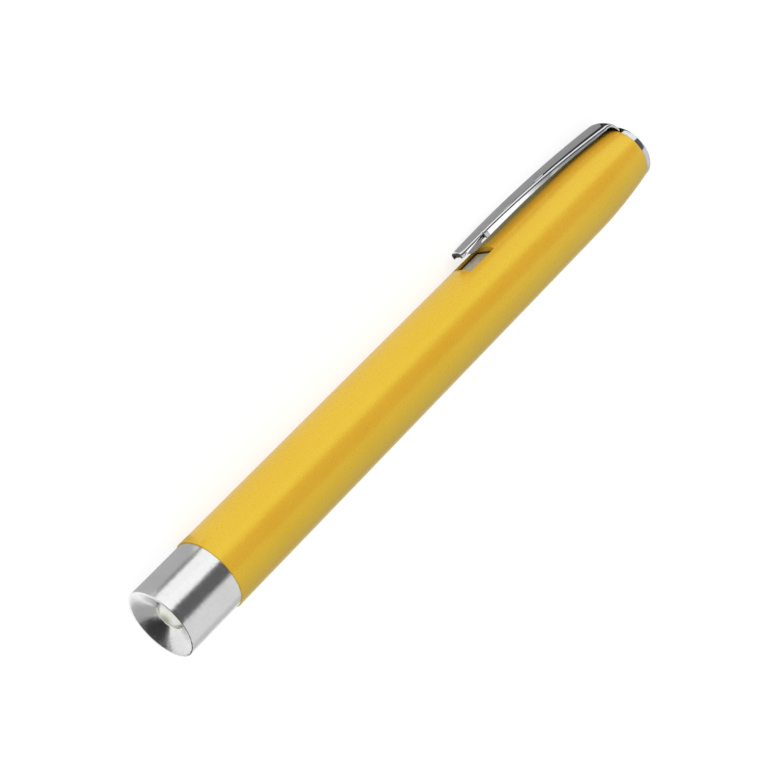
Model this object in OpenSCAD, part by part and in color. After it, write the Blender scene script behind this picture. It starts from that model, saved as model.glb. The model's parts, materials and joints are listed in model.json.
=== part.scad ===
// Penlight whose sprung pocket clip is its switch.
// Its pieces are drawn with the pen along X, the tail towards +X and the clip on top.
// Places along the pen are measured from the joint of head and barrel, heights from the pen's axis.

/* [Barrel] */
// Thickness of the barrel's wall round the cells
barrel_wall = 1.25; // [0.9:0.05:1.6]
// Length of the curved taper at the tail
taper_len = 17; // [12:0.5:22]
// Fall of the taper, from the straight barrel to the tail edge
taper_drop = 1.15; // [0.6:0.05:1.5]
// Diameter of the bore through the tail
tail_bore_d = 8; // [7.6:0.1:8.6]
// Chamfer on both edges of the joint between head and barrel
joint_chamfer = 0.15; // [0.05:0.05:0.3]

/* [Switch window] */
// Length of the window in the barrel's wall
window_len = 7.2; // [6.8:0.1:8]
// Width of the window
window_w = 5.2; // [4.4:0.1:6]
// Distance from the window's front edge to the middle of the contact nose
window_lead = 4.8; // [4:0.1:5.4]

/* [Head] */
// Step down from the barrel to the head
head_step = 0.2; // [0:0.05:0.5]
// Length of the head ahead of the joint
head_len = 12.1; // [11.6:0.1:14]
// Width of the rim round the reflector's mouth
rim_w = 0.45; // [0.3:0.05:0.8]
// Angle between the reflector's wall and the pen's axis
cone_angle = 63; // [58:1:66]
// Thickness of the wall behind the reflector
web_t = 1.4; // [1:0.1:1.8]
// Length of the screwed spigot inside the barrel
spigot_len = 6.8; // [6:0.1:7]
// Thickness of the spigot's wall
spigot_wall = 1; // [0.8:0.05:1.2]

/* [Light source] */
// Diameter of the LED's body
led_d = 5; // [4.8:0.1:5.2]
// Length of the LED from its base to the top of its dome
led_len = 8.6; // [8.2:0.1:9]
// Depth of the dome's top below the rim of the head
led_setback = 1.1; // [0.8:0.1:1.4]
// Width of the flange round the LED's base
led_flange_w = 0.4; // [0.2:0.05:0.6]
// Thickness of the LED's flange
led_flange_t = 1; // [0.8:0.1:1.3]
// Distance between the LED's leads
lead_pitch = 2.54; // [2.4:0.02:2.7]
// Thickness of a lead
lead_t = 0.5; // [0.4:0.05:0.6]
// Diameter of the light-giving chip
chip_d = 1.2; // [0.8:0.1:1.3]
// Thickness of the circuit board
board_t = 1; // [0.8:0.1:1.6]
// Width of the brass retaining ring along the pen
ring_len = 2; // [1.5:0.1:3]
// Inside diameter of the retaining ring
ring_hole_d = 6.8; // [6.4:0.1:7.4]
// Thickness of the insulating disc
insulator_t = 2; // [1.5:0.1:3]
// Diameter of the front contact's stem
stem_d = 1.4; // [1.2:0.1:1.5]
// Diameter of the front contact's head
contact_head_d = 3.4; // [3:0.1:4]
// Thickness of the front contact's head
contact_head_t = 0.6; // [0.5:0.1:1]

/* [Cells] */
// Diameter of a cell
cell_d = 10.5; // [10:0.1:10.6]
// Length of a cell with its positive nub
cell_len = 44.5; // [43.3:0.1:45]
// Diameter of the positive nub
nub_d = 3.8; // [3.4:0.1:4.2]
// Height of the positive nub
nub_h = 1; // [0.8:0.1:1.3]
// Width of the can's crimped edge round the seal
crimp_w = 0.8; // [0.6:0.05:1.2]
// Width of the seal round the negative base
seal_w = 0.7; // [0.5:0.1:0.9]
// Depth of the seal
seal_depth = 1; // [0.8:0.1:1.5]
// Height of the negative base above the can's edge
base_rise = 0.3; // [0.2:0.05:0.5]
// Thickness of the can's wall
can_t = 0.25; // [0.2:0.05:0.4]
// Thickness of the jacket
jacket_t = 0.15; // [0.1:0.01:0.2]
// Length of the space that the battery spring fills
spring_len = 8.4; // [7:0.1:10]
// Thickness of the spring's wire
spring_wire_d = 0.7; // [0.6:0.05:0.8]
// Width of the spring at its seat
spring_seat_d = 8; // [7:0.1:8.6]
// Width of the spring at the cell
spring_tip_d = 5.4; // [4.6:0.1:6]
// Turns of the spring
spring_turns = 5; // [4:1:6]

/* [Switch contact] */
// Thickness of the contact strip
strip_t = 0.2; // [0.15:0.01:0.25]
// Width of the contact strip
strip_w = 4.4; // [3.6:0.1:4.6]
// Length of the strip ahead of the window
strip_lead = 1; // [0.5:0.1:2]
// Height of the strip's sprung bow, which meets the contact nose
bow_h = 0.72; // [0.5:0.01:0.75]
// Radius of the bow
bow_r = 4; // [3.5:0.1:4.2]
// Distance of the bow's top ahead of the nose
bow_lead = 0.3; // [0.2:0.05:0.5]
// Thickness of the spring seat
seat_t = 0.3; // [0.2:0.05:0.5]
// Thickness of the insulating sleeve round the cells
sleeve_t = 0.37; // [0.3:0.01:0.6]
// Thickness of the sleeve's closed end
sleeve_end_t = 1; // [0.8:0.1:1.5]

/* [Tail] */
// Thickness of the cap outside the barrel
cap_t = 1.6; // [1.5:0.1:2.4]
// Rounding of the cap's edge
cap_round = 0.7; // [0.3:0.1:1]
// Length of the cap's spigot
cap_spigot_len = 5.8; // [5:0.1:7]
// Thickness of the tail plug's flange
plug_flange_t = 1.6; // [1.2:0.1:2.4]
// Length of the tail plug's neck
plug_neck_len = 9; // [7:0.1:12]
// Diameter of the screw's shank
screw_d = 2.5; // [2:0.1:3]
// Diameter of the screw's head
screw_head_d = 5.2; // [4.4:0.1:5.6]
// Thickness of the screw's head
screw_head_t = 1.9; // [1.5:0.1:2.2]
// Depth of the screw's hold in the cap
screw_hold = 3; // [2.5:0.1:3.5]

/* [Clip] */
// Length of the clip along the pen
clip_len = 46.8; // [44:0.1:50]
// Thickness of the clip's sheet
clip_t = 0.4; // [0.3:0.05:0.45]
// Width of the clip at its tip
clip_tip_w = 3; // [2.8:0.1:3.3]
// Width of the clip at its root
clip_root_w = 5.5; // [5:0.1:5.8]
// Height of the clip's crown above the barrel
clip_rise = 3.15; // [3:0.05:3.8]
// Distance from the clip's tip to its crown
clip_crown = 11.5; // [9:0.1:14]
// Radius of the clip's long arch
clip_arch_r = 345; // [320:5:420]
// Outer radius of the bend at the tail
clip_bend_r = 2.4; // [2:0.1:2.8]
// Radius of the clip's back across its width
clip_back_r = 4.5; // [4:0.1:6]
// Outer radius of the clip's rolled edges
clip_edge_r = 0.9; // [0.8:0.05:1]
// Depth of the flanges at the tip
tip_depth = 1; // [0.9:0.05:1.2]
// Distance from the tip to the place where the flanges begin in full
notch_back = 7.3; // [6.8:0.1:8]
// Depth that the flanges have been cut back to just ahead of that place
notch_depth = 0.7; // [0.6:0.05:0.9]
// Full depth of the flanges
flange_depth = 1.75; // [1.5:0.05:1.8]
// Depth of the flanges at the tail bend
root_depth = 1.4; // [1.3:0.05:1.5]
// Length of the hook inside the tail
hook_len = 2.4; // [2:0.1:2.8]
// Distance from the clip's tip to the middle of the contact nose
nose_back = 3.85; // [3.6:0.05:4.2]
// Gap between the contact nose and the barrel at rest
nose_gap = 0.8; // [0.6:0.05:1]
// Radius of the contact nose seen from the side
nose_r = 3.6; // [3.2:0.1:3.8]
// Rounding of the contact nose's keel
nose_round = 0.45; // [0.3:0.05:0.6]

/* [Hidden] */

$fn = 96;
// Sides of the circles of very large radius
arch_sides = 2160;

// Fits and clearances
// Overrun of every cut
cut_over = 1;
// Radial running fit of the screwed spigot and of the pieces pressed into a bore
bore_fit = 0.05;
// Radial fit of a cell in its sleeve
cell_fit = 0.08;
// Gap between flat faces that are screwed together
seat_gap = 0.05;
// Room between the spigot's end and the sleeve
sleeve_gap = 0.4;
// Room for the clip's hook to rock in the cap
hook_room = 0.35;
// Room for the tang ahead of it, towards the barrel's edge
tang_room = 0.25;

// Radii of the turned pieces, from the cells outwards
cell_r = cell_d / 2;
sleeve_r = cell_r + cell_fit;
sleeve_outer_r = sleeve_r + sleeve_t;
bore_r = sleeve_outer_r + bore_fit;
barrel_r = bore_r + barrel_wall;
tail_r = barrel_r - taper_drop;
tail_bore_r = tail_bore_d / 2;
head_r = barrel_r - head_step;
mouth_r = head_r - rim_w;
spigot_r = bore_r - bore_fit;
lamp_bore_r = spigot_r - spigot_wall;
led_r = led_d / 2;
led_flange_r = led_r + led_flange_w;

// Light source, from the rim backwards
led_hole_r = led_r + 2 * bore_fit;
rim_x = -head_len;
cone_depth = (mouth_r - led_hole_r) / tan(cone_angle);
web_x = rim_x + cone_depth + web_t;
led_tip_x = rim_x + led_setback;
board_x = led_tip_x + led_len;
board_back_x = board_x + board_t;
insert_r = lamp_bore_r - bore_fit;
// Distance of the insulating disc's back from the spigot's end
insulator_inset = 0.2;
insulator_x = spigot_len - insulator_inset - insulator_t;
contact_x = insulator_x + insulator_t + contact_head_t;
// Solder length of the leads behind the board, and the drill for a lead
lead_tail = 0.5;
lead_drill_d = 0.9;
// Lead frame inside the lens: its distance from the dome's top, its height, its cup and the gap beside the cup
frame_setback = 2.6;
frame_h = 1.6;
cup_d = 1.5;
cup_h = 0.8;
post_gap = 0.17;
chip_t = 0.35;
// Chip resistor: length, width and height, midway between the contact's stem and the retaining ring
resistor_l = 2;
resistor_w = 1.25;
resistor_h = 0.5;
resistor_off = (stem_d + ring_hole_d) / 4;

// Cells, spring and the back of the cell compartment
can_r = cell_r - jacket_t;
seal_r = can_r - crimp_w;
base_r = seal_r - seal_w;
cells_end_x = contact_x + 2 * cell_len;
seat_x = cells_end_x + spring_len;
sleeve_end_x = seat_x + seat_t;
plug_x = sleeve_end_x + sleeve_end_t;
shoulder_x = plug_x + plug_flange_t;
strip_r = sleeve_r + strip_t;
// Gap between the spring seat's rim and the sleeve
seat_rim_gap = 0.13;
seat_r = sleeve_r - seat_rim_gap;
// Side clearance of the strip in the sleeve's slot
strip_side_fit = 0.05;

// Spring: sides of its wire, rings in a turn and clearance at its two ends
wire_sides = 6;
turn_rings = 16;
spring_end_gap = 0.03;

// Tail, where the barrel ends behind the plug and the cap's spigot
cap_spigot_x = shoulder_x + plug_neck_len;
barrel_len = cap_spigot_x + cap_spigot_len;
cap_end_x = barrel_len + cap_t;
screw_head_room = 0.1;
screw_head_x = plug_x + screw_head_room;
screw_seat_x = screw_head_x + screw_head_t;
screw_end_x = cap_spigot_x + screw_hold;

// Taper of the tail, an arc that leaves the straight barrel without a corner
taper_x = barrel_len - taper_len;
taper_arc_r = (taper_len * taper_len + taper_drop * taper_drop) / (2 * taper_drop);

// Clip: its path is a chain of arcs along the outside of the sheet
// Lip that the flanges still have at the root, and the room round the tang's pocket
root_lip = 0.1;
tang_t = clip_t + root_lip;
tang_back_x = barrel_len + tang_room + tang_t;
pocket_depth = tang_room + tang_t + hook_room;
clip_tip_x = tang_back_x - clip_len;
crown_x = clip_tip_x + clip_crown;
crown_z = barrel_r + clip_rise;
arch_z = crown_z - clip_arch_r;
tip_turn = asin((clip_tip_x - crown_x) / clip_arch_r);
root_turn = asin((tang_back_x - clip_bend_r - crown_x) / (clip_arch_r - clip_bend_r));
bend_z = arch_z + (clip_arch_r - clip_bend_r) * cos(root_turn);
// Hook: outer radius of its bend, width, and distance of its outer face from the tail bore's wall
hook_bend_r = 0.8;
hook_w = 2.4;
hook_inset = 1;
hook_z = tail_bore_r - hook_inset;
tang_edge_r = clip_t + root_lip / 2;
// Straight lip below a rolled edge, and the radius of the back where the tang is as good as flat
edge_lip = 0.05;
tang_back_r = 200;
// Share of the clip's tip width that is left at its very end, and the length over which it narrows
tip_narrow_share = 0.86;
tip_narrow_len = 0.7;
// Stations from the tip to the notch, from there to the bend, round the bend and round the hook
tip_steps = 4;
arch_steps = 14;
bend_steps = 8;
hook_steps = 5;
// Length over which the flanges fall to their full depth, and the way their depth then dwindles
notch_len = 0.15;
dwindle = 2;
// Steps round a rolled edge and across the back
edge_steps = 4;
back_steps = 4;

// Contact nose under the clip's tip
nose_x = clip_tip_x + nose_back;
nose_z = barrel_r + nose_gap + nose_r;
nose_side_gap = 0.2;
nose_w = clip_tip_w - 2 * clip_t - 2 * nose_side_gap;
nose_seat_gap = 0.02;
window_x = nose_x - window_lead;
strip_x = window_x - strip_lead;

// Clip's pivot, the middle of its tang just inside the tail edge
pivot_x = tang_back_x - tang_t / 2;
pivot_inset = 0.2;
pivot_z = tail_bore_r + pivot_inset;
echo(pivot = [pivot_x, pivot_z], nose_low = [nose_x, nose_z - nose_r], strip_top = strip_r);
echo(rim = rim_x, cap_end = cap_end_x, contact = contact_x, cells_end = cells_end_x, seat = seat_x);
echo(shoulder = shoulder_x, window = [window_x, window_x + window_len], clip_tip = clip_tip_x);

// Colours
gold = [0.89, 0.71, 0.19];
bright_metal = [0.78, 0.79, 0.8];
chrome = [0.62, 0.63, 0.65];
brass = [0.78, 0.62, 0.3];
nickel = [0.7, 0.66, 0.56];
white_plastic = [0.92, 0.91, 0.87];
dark_plastic = [0.13, 0.13, 0.14];
lens_clear = [0.93, 0.94, 0.86];
phosphor = [0.86, 0.82, 0.42];
board_green = [0.12, 0.36, 0.2];
jacket_grey = [0.3, 0.33, 0.38];
core_black = [0.1, 0.1, 0.1];

// Stands a shape made along Z on the pen's axis, starting at a place along the pen
module on_axis(x) {
    translate([x, 0, 0]) rotate([0, 90, 0]) children();
}

module disc(x, len, r) {
    on_axis(x) cylinder(h = len, r = r);
}

module tube(x, len, r_out, r_in) {
    difference() {
        disc(x, len, r_out);
        disc(x - cut_over, len + 2 * cut_over, r_in);
    }
}

// Turns an outline of [radius, place along the pen] points about the pen's axis
module turned(outline) {
    on_axis(0) rotate_extrude() polygon(outline);
}

// A block that starts at x, lies across the middle of the pen and spans two heights
module block(x, len, w, z_low, z_high) {
    translate([x, -w / 2, z_low]) cube([len, w, z_high - z_low]);
}

// Barrel

module barrel_outline() {
    difference() {
        union() {
            square([barrel_r, taper_x]);
            intersection() {
                translate([0, taper_x]) square([barrel_r, taper_len]);
                translate([barrel_r - taper_arc_r, taper_x]) circle(taper_arc_r, $fn = arch_sides);
            }
        }
        translate([0, -cut_over]) square([bore_r, shoulder_x + cut_over]);
        square([tail_bore_r, barrel_len + cut_over]);
        polygon([[barrel_r - joint_chamfer, 0], [barrel_r, joint_chamfer],
                 [barrel_r + cut_over, joint_chamfer], [barrel_r + cut_over, -cut_over],
                 [barrel_r - joint_chamfer, -cut_over]]);
    }
}

module barrel() {
    color(gold) difference() {
        on_axis(0) rotate_extrude() barrel_outline();
        block(window_x, window_len, window_w, sleeve_r / 2, barrel_r + cut_over);
    }
}

// Head and light source

module lamp_head() {
    back_x = -seat_gap;
    cone_x = rim_x + cone_depth;
    color(bright_metal) turned([
        [mouth_r, rim_x], [head_r - joint_chamfer, rim_x], [head_r, rim_x + joint_chamfer],
        [head_r, back_x - joint_chamfer], [head_r - joint_chamfer, back_x], [spigot_r, back_x],
        [spigot_r, spigot_len - joint_chamfer], [spigot_r - joint_chamfer, spigot_len],
        [lamp_bore_r, spigot_len], [lamp_bore_r, web_x], [led_hole_r, web_x], [led_hole_r, cone_x]]);
}

module lead_frame() {
    top_x = led_tip_x + frame_setback;
    lead_end_x = board_back_x + lead_tail;
    for (side = [-1, 1]) {
        translate([top_x, side * lead_pitch / 2 - lead_t / 2, -lead_t / 2])
            cube([lead_end_x - top_x, lead_t, lead_t]);
    }
    // The anvil has the chip's cup on it, and the post stands beside the cup
    anvil_w = (lead_pitch + lead_t) / 2;
    post_w = anvil_w - cup_d / 2 - post_gap;
    translate([top_x, -anvil_w, -lead_t / 2]) cube([frame_h, anvil_w, lead_t]);
    translate([top_x, anvil_w - post_w, -lead_t / 2]) cube([frame_h, post_w, lead_t]);
    disc(top_x, cup_h, cup_d / 2);
}

module chip_body() {
    top_x = led_tip_x + frame_setback;
    disc(top_x - chip_t, chip_t, chip_d / 2);
}

module led_lens() {
    dome_x = led_tip_x + led_r;
    color(lens_clear) difference() {
        union() {
            translate([dome_x, 0, 0]) sphere(led_r);
            disc(dome_x, board_x - dome_x, led_r);
            disc(board_x - led_flange_t, led_flange_t, led_flange_r);
        }
        lead_frame();
        chip_body();
    }
}

module led_leads() {
    color(chrome) lead_frame();
}

module led_chip() {
    color(phosphor) chip_body();
}

module led_holder() {
    flange_x = board_x - led_flange_t;
    color(white_plastic) difference() {
        disc(web_x, board_x - web_x, insert_r);
        disc(web_x - cut_over, board_x - web_x + 2 * cut_over, led_r + bore_fit);
        disc(flange_x, led_flange_t + cut_over, led_flange_r + bore_fit);
    }
}

module circuit_board() {
    color(board_green) difference() {
        disc(board_x, board_t, insert_r);
        for (side = [-1, 1]) {
            translate([0, side * lead_pitch / 2, 0])
                disc(board_x - cut_over, board_t + 2 * cut_over, lead_drill_d / 2);
        }
    }
}

module series_resistor() {
    color(dark_plastic)
        block(board_back_x, resistor_h, resistor_l,
              resistor_off - resistor_w / 2, resistor_off + resistor_w / 2);
}

module retaining_ring() {
    color(brass) tube(board_back_x, ring_len, insert_r, ring_hole_d / 2);
}

module contact_insulator() {
    color(dark_plastic) tube(insulator_x, insulator_t, insert_r, stem_d / 2 + bore_fit);
}

module front_contact() {
    color(brass) {
        disc(board_back_x, insulator_x + insulator_t - board_back_x, stem_d / 2);
        disc(insulator_x + insulator_t, contact_head_t, contact_head_d / 2);
    }
}

// Cells, each measured from the top of its positive nub

can_edge = cell_len - base_rise;
seal_x = can_edge - seal_depth;

module core_body(x) {
    disc(x + nub_h + can_t, seal_x - nub_h - can_t, can_r - can_t);
}

module cell_can(x) {
    color(bright_metal) difference() {
        union() {
            disc(x, nub_h + can_t, nub_d / 2);
            disc(x + nub_h, can_edge - nub_h, can_r);
        }
        core_body(x);
        disc(x + seal_x, seal_depth + cut_over, seal_r);
    }
}

module cell_core(x) {
    color(core_black) core_body(x);
}

module cell_jacket(x) {
    // The jacket is shrunk over both ends of the can
    color(jacket_grey) translate([x, 0, 0]) turned([
        [seal_r, nub_h - jacket_t], [cell_r, nub_h - jacket_t],
        [cell_r, can_edge + jacket_t], [seal_r, can_edge + jacket_t],
        [seal_r, can_edge], [can_r, can_edge], [can_r, nub_h], [seal_r, nub_h]]);
}

module cell_seal(x) {
    color(dark_plastic) tube(x + seal_x, seal_depth, seal_r, base_r);
}

module cell_base(x) {
    color(chrome) disc(x + seal_x, seal_depth + base_rise, base_r);
}

front_cell_x = contact_x;
rear_cell_x = contact_x + cell_len;

module front_cell_can() { cell_can(front_cell_x); }
module front_cell_core() { cell_core(front_cell_x); }
module front_cell_jacket() { cell_jacket(front_cell_x); }
module front_cell_seal() { cell_seal(front_cell_x); }
module front_cell_base() { cell_base(front_cell_x); }
module rear_cell_can() { cell_can(rear_cell_x); }
module rear_cell_core() { cell_core(rear_cell_x); }
module rear_cell_jacket() { cell_jacket(rear_cell_x); }
module rear_cell_seal() { cell_seal(rear_cell_x); }
module rear_cell_base() { cell_base(rear_cell_x); }

module cell_sleeve() {
    front_x = spigot_len + sleeve_gap;
    slot_w = strip_w + 2 * strip_side_fit;
    color(white_plastic) difference() {
        disc(front_x, plug_x - front_x, sleeve_outer_r);
        disc(front_x - cut_over, sleeve_end_x - front_x + cut_over, sleeve_r);
        block(strip_x - strip_side_fit, sleeve_end_x - strip_x + strip_side_fit, slot_w, 0, bore_r);
    }
}

// Battery spring, one unbroken wire that narrows from its seat to the cell

wire_r = spring_wire_d / 2;
spring_low_x = cells_end_x + wire_r + spring_end_gap;
spring_high_x = seat_x - wire_r - spring_end_gap;
spring_rings = spring_turns * turn_rings;
function coil_r(s) = (spring_tip_d * (1 - s) + spring_seat_d * s) / 2 - wire_r;
function coil_point(s, out, up) = let (turn = 360 * spring_turns * s, r = coil_r(s) + out)
    [spring_low_x + (spring_high_x - spring_low_x) * s + up, r * cos(turn), r * sin(turn)];
echo(spring_gap = (spring_high_x - spring_low_x) / spring_turns - spring_wire_d);

module battery_spring() {
    points = [for (i = [0:spring_rings], k = [0:wire_sides - 1])
        let (a = 360 * k / wire_sides) coil_point(i / spring_rings, wire_r * cos(a), wire_r * sin(a))];
    sides = [for (i = [0:spring_rings - 1], k = [0:wire_sides - 1])
        let (a = i * wire_sides + k, b = i * wire_sides + (k + 1) % wire_sides)
            each [[a, b, a + wire_sides], [b, b + wire_sides, a + wire_sides]]];
    last = spring_rings * wire_sides;
    ends = [for (k = [1:wire_sides - 2]) each [[0, k + 1, k], [last, last + k, last + k + 1]]];
    color(nickel) polyhedron(points, concat(sides, ends), convexity = 10);
}

// Contact strip with the spring seat at its back end

module contact_strip() {
    color(nickel) {
        intersection() {
            tube(strip_x, sleeve_end_x - strip_x, strip_r, sleeve_r);
            block(strip_x, sleeve_end_x - strip_x, strip_w, 0, bore_r);
        }
        // Sprung bow in the window
        difference() {
            intersection() {
                translate([nose_x - bow_lead, strip_w / 2, strip_r + bow_h - bow_r]) rotate([90, 0, 0])
                    difference() {
                        cylinder(h = strip_w, r = bow_r);
                        translate([0, 0, -cut_over]) cylinder(h = strip_w + 2 * cut_over, r = bow_r - strip_t);
                    }
                block(window_x, window_len, strip_w, strip_r / 2, barrel_r);
            }
            disc(window_x - cut_over, window_len + 2 * cut_over, sleeve_r);
        }
        disc(seat_x, seat_t, seat_r);
        intersection() {
            disc(seat_x, seat_t, strip_r);
            block(seat_x, seat_t, strip_w, 0, bore_r);
        }
    }
}

// Tail

module tail_plug() {
    color(white_plastic) difference() {
        union() {
            disc(plug_x, plug_flange_t, bore_r - bore_fit);
            disc(plug_x, cap_spigot_x - plug_x, tail_bore_r - bore_fit);
        }
        disc(plug_x - cut_over, cap_spigot_x - plug_x + 2 * cut_over, screw_d / 2 + bore_fit);
        disc(plug_x - cut_over, screw_seat_x - plug_x + cut_over, screw_head_d / 2 + bore_fit);
    }
}

module tail_screw() {
    color(chrome) {
        disc(screw_head_x, screw_head_t, screw_head_d / 2);
        disc(screw_head_x, screw_end_x - screw_head_x, screw_d / 2);
    }
}

module cap_outline() {
    flat_r = tail_r - cap_round;
    square([tail_r, cap_t - cap_round]);
    square([flat_r, cap_t]);
    translate([flat_r, cap_t - cap_round]) circle(cap_round);
}

module tail_cap() {
    hook_x = tang_back_x - hook_len;
    slot_w = clip_root_w + hook_room;
    color(chrome) difference() {
        union() {
            on_axis(barrel_len) rotate_extrude() cap_outline();
            disc(cap_spigot_x, cap_spigot_len, tail_bore_r - bore_fit);
        }
        disc(cap_spigot_x - cut_over, screw_hold + cut_over + screw_head_room, screw_d / 2 + bore_fit);
        // Pocket for the clip's tang, open at the rim, and the well for its hook
        block(barrel_len, pocket_depth, slot_w, hook_z - hook_room, tail_r + cut_over);
        block(hook_x - hook_room, hook_len + hook_room, hook_w + hook_room, hook_z - hook_room, tail_r);
    }
}

// Clip, one formed sheet swept along its path

function between(a, b, share) = a + (b - a) * share;
function on_arc(x, z, r, turn) = [x + r * sin(turn), z + r * cos(turn)];

// Places along the arch are shares of the way from the tip to the bend
notch_share = notch_back / (tang_back_x - clip_bend_r - clip_tip_x);
full_share = notch_share + notch_len / clip_len;
function flange(share) = share < full_share
    ? between(tip_depth, notch_depth, share / notch_share)
    : between(root_depth, flange_depth, pow((1 - share) / (1 - full_share), dwindle));

// A station holds its place, the turn of its outward normal, and the section's width, depth, edge and back
function arch_station(share, narrow = 1) = let (turn = between(tip_turn, root_turn, share))
    [on_arc(crown_x, arch_z, clip_arch_r, turn), turn, between(clip_tip_w, clip_root_w, share) * narrow,
     flange(share), clip_edge_r, clip_back_r];
function bend_station(share) = let (turn = between(root_turn, 90, share))
    [on_arc(tang_back_x - clip_bend_r, bend_z, clip_bend_r, turn), turn, clip_root_w,
     between(root_depth, tang_t, share), between(clip_edge_r, tang_edge_r, share),
     1 / between(1 / clip_back_r, 1 / tang_back_r, share)];
function hook_station(place, turn) = [place, turn, hook_w, tang_t, tang_edge_r, tang_back_r];

narrow_share = tip_narrow_len / clip_len;
clip_path = concat(
    [arch_station(0, tip_narrow_share)],
    [for (i = [0:tip_steps]) arch_station(between(narrow_share, notch_share, i / tip_steps))],
    [for (i = [0:arch_steps]) arch_station(between(full_share, 1, i / arch_steps))],
    [for (i = [1:bend_steps]) bend_station(i / bend_steps)],
    [for (i = [0:hook_steps]) let (turn = between(90, 180, i / hook_steps))
        hook_station(on_arc(tang_back_x - hook_bend_r, hook_z + hook_bend_r, hook_bend_r, turn), turn)],
    [hook_station([tang_back_x - hook_len, hook_z], 180)]);

// Channel section as [across, depth] points: a rounded back between two rolled edges, each with a short lip
// Turn at which the back goes over into the rolled edge, and the middle of that edge's arc
function back_turn(w, edge, back) = asin((w / 2 - edge) / (back - edge));
function edge_middle(w, edge, back) = [w / 2 - edge, back - (back - edge) * cos(back_turn(w, edge, back))];
function swing(middle, r, from, to, steps) = [for (k = [0:steps])
    let (a = between(from, to, k / steps)) [middle[0] + r * sin(a), middle[1] - r * cos(a)]];
function but_last(points) = [for (k = [0:len(points) - 2]) points[k]];
// Half of the skin that lies at an inset inside the outer one, from the middle of the back to the lip
function half_skin(w, depth, edge, back, inset) =
    let (middle = edge_middle(w, edge, back), leave = back_turn(w, edge, back),
         stop = acos(max(0, (middle[1] - depth + edge_lip) / edge)),
         back_half = but_last(swing([0, back], back - inset, 0, leave, back_steps)),
         roll = swing(middle, edge - inset, leave, stop, edge_steps))
    concat(back_half, roll, [[roll[edge_steps][0], depth]]);
function mirrored(points) = [for (k = [1:len(points) - 1]) let (p = points[len(points) - k]) [-p[0], p[1]]];
function skin(half) = concat(mirrored(half), half);
function reversed(points) = [for (k = [1:len(points)]) points[len(points) - k]];
function channel(w, depth, edge, back) = concat(
    skin(half_skin(w, depth, edge, back, 0)), reversed(skin(half_skin(w, depth, edge, back, clip_t))));
function placed(station) = let (place = station[0], turn = station[1])
    [for (p = channel(station[2], station[3], station[4], station[5]))
        [place[0] - p[1] * sin(turn), p[0], place[1] - p[1] * cos(turn)]];

clip_points = [for (station = clip_path) each placed(station)];

module clip() {
    n = len(placed(clip_path[0]));
    last = len(clip_points) - n;
    walls = [for (i = [0:len(clip_path) - 2], k = [0:n - 1])
        let (a = i * n + k, b = i * n + (k + 1) % n) each [[a, a + n, b], [b, a + n, b + n]]];
    ends = [for (k = [0:n / 2 - 2]) let (a = k, b = k + 1, c = n - 2 - k, d = n - 1 - k)
        each [[a, b, c], [a, c, d], [last + a, last + c, last + b], [last + a, last + d, last + c]]];
    color(chrome) polyhedron(clip_points, concat(walls, ends), convexity = 10);
}

// Contact nose, a slice of a round-rimmed wheel that fills the channel behind the tip

module nose_outline() {
    flat_w = nose_w / 2 - nose_round;
    translate([0, -nose_w / 2]) square([nose_r - nose_round, nose_w]);
    translate([0, -flat_w]) square([nose_r, 2 * flat_w]);
    for (side = [-1, 1]) {
        translate([nose_r - nose_round, side * flat_w]) circle(nose_round, $fn = 32);
    }
}

module contact_nose() {
    // The nose's upper corners stop at the inside of the rolled edges, which is lowest at the nose's front end
    middle = edge_middle(clip_tip_w, clip_edge_r, clip_back_r);
    off_middle = nose_w / 2 - middle[0];
    corner_depth = middle[1] - sqrt(pow(clip_edge_r - clip_t, 2) - off_middle * off_middle);
    underside_r = clip_arch_r - corner_depth - nose_seat_gap;
    front_off = crown_x - nose_x + nose_r;
    top_z = arch_z + sqrt(underside_r * underside_r - front_off * front_off);
    color(chrome) intersection() {
        translate([nose_x, 0, nose_z]) rotate([90, 0, 0]) rotate_extrude() nose_outline();
        block(nose_x - nose_r - cut_over, 2 * (nose_r + cut_over), 2 * nose_w, barrel_r, top_z);
    }
}

// Rest: the pen lies on its barrel, head towards +X, rolled until an edge of its clip touches the surface
function touch_roll(p) = acos(-barrel_r / norm([p[1], p[2]])) - atan2(p[1], p[2]);
rest_roll = min([for (p = clip_points) if (norm([p[1], p[2]]) > barrel_r) touch_roll(p)]);
side_reach = max([for (p = clip_points) p[1] * cos(rest_roll) + p[2] * sin(rest_roll)]);
echo(rest_roll = rest_roll, side_reach = side_reach);

module resting() {
    translate([(rim_x + cap_end_x) / 2, (side_reach - barrel_r) / 2, barrel_r])
        rotate([-rest_roll, 0, 180]) children();
}

resting() barrel();
resting() lamp_head();
resting() led_lens();
resting() led_leads();
resting() led_chip();
resting() led_holder();
resting() circuit_board();
resting() series_resistor();
resting() retaining_ring();
resting() contact_insulator();
resting() front_contact();
resting() front_cell_can();
resting() front_cell_core();
resting() front_cell_jacket();
resting() front_cell_seal();
resting() front_cell_base();
resting() rear_cell_can();
resting() rear_cell_core();
resting() rear_cell_jacket();
resting() rear_cell_seal();
resting() rear_cell_base();
resting() cell_sleeve();
resting() battery_spring();
resting() contact_strip();
resting() tail_plug();
resting() tail_screw();
resting() tail_cap();
resting() clip();
resting() contact_nose();
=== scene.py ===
import json
import math

import bmesh
import bpy
from mathutils import Matrix, Vector


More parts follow.
